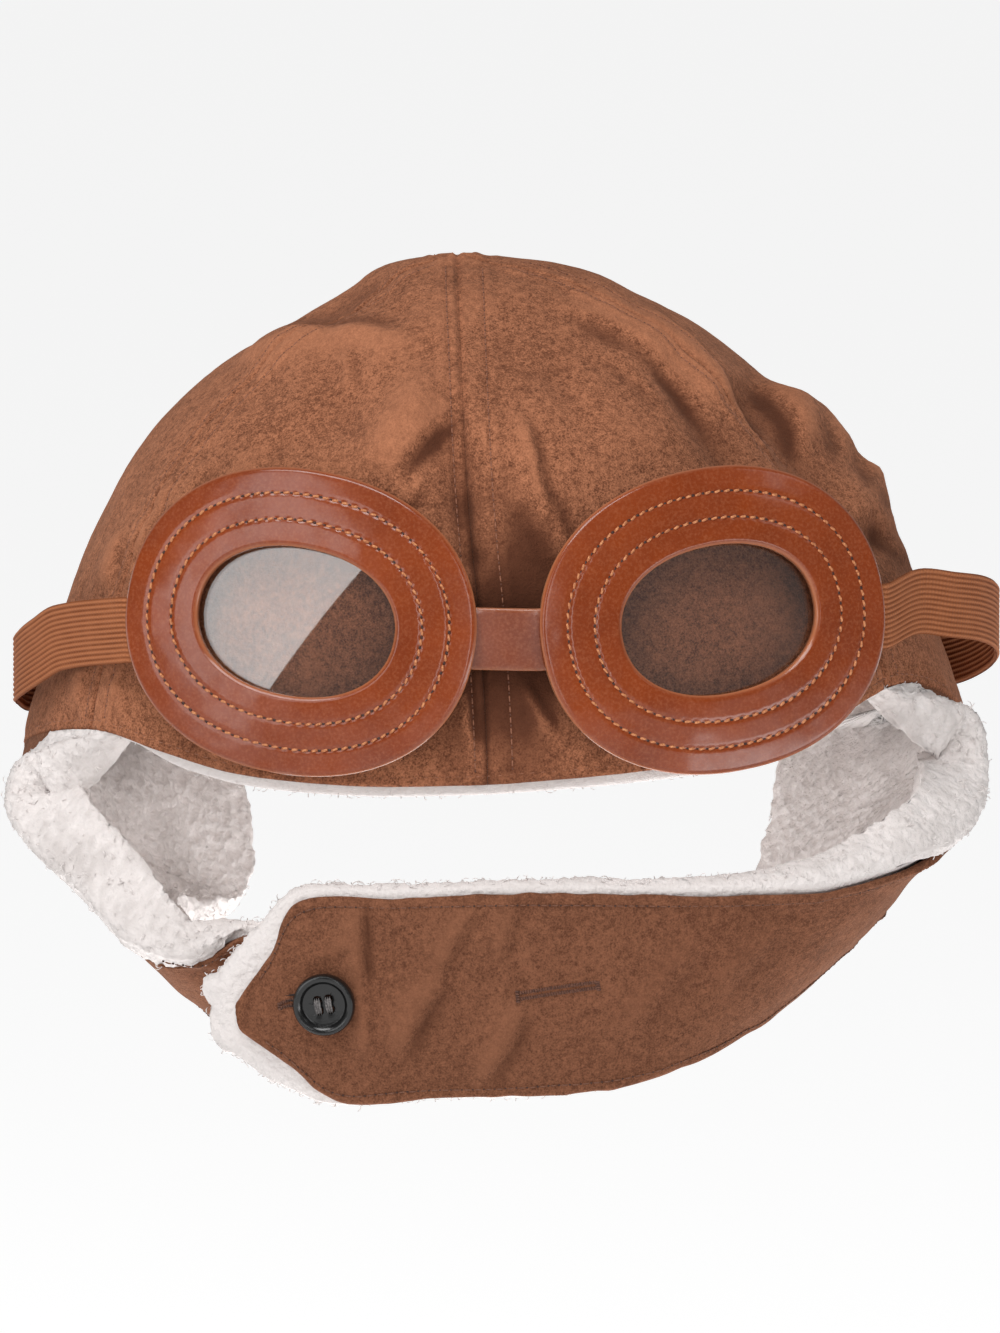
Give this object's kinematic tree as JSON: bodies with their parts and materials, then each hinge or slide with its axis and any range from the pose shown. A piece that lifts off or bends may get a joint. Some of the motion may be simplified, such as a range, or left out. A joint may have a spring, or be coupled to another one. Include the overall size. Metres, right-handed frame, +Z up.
{
  "type": "aviator hat with goggles",
  "caption": "Suede-look aviator hat with white fleece lining, ear flaps joined by a buttoned chin strap, and oval leather goggles on an elastic band.",
  "frame": {"origin": "centre of the head opening, level with the hem at the front", "axes": "+Z up towards the crown, -Y towards the face the goggles look to, +X towards the right of a front view"},
  "size_m": [0.2387, 0.2076, 0.1906],
  "materials": {
    "suede": "napped brown suede cloth, mottled",
    "strap_suede": "napped brown suede cloth, a little lighter",
    "fleece": "curly white pile",
    "leather": "smooth tan, semi-gloss",
    "backing_leather": "pale raw side, matte",
    "bridge_leather": "smooth, semi-gloss",
    "lens": "clear, thin sheet",
    "button": "black, glossy",
    "thread": "dark twisted thread",
    "webbing": "ribbed elastic webbing"
  },
  "bodies": {
    "root": {"crown_back_left": "suede", "crown_front_left": "suede", "crown_front_right": "suede", "crown_back_right": "suede", "crown_lining": "fleece", "left_flap_cloth": "strap_suede", "left_flap_lining": "fleece", "right_flap_cloth": "strap_suede", "right_flap_lining": "fleece", "chin_button": "button", "button_thread": "thread", "goggle_rim_left": "leather", "goggle_backing_left": "backing_leather", "goggle_lens_left": "lens", "goggle_rim_right": "leather", "goggle_backing_right": "backing_leather", "goggle_lens_right": "lens", "goggle_bridge": "bridge_leather", "goggle_elastic": "webbing"}
  },
  "joints": []
}
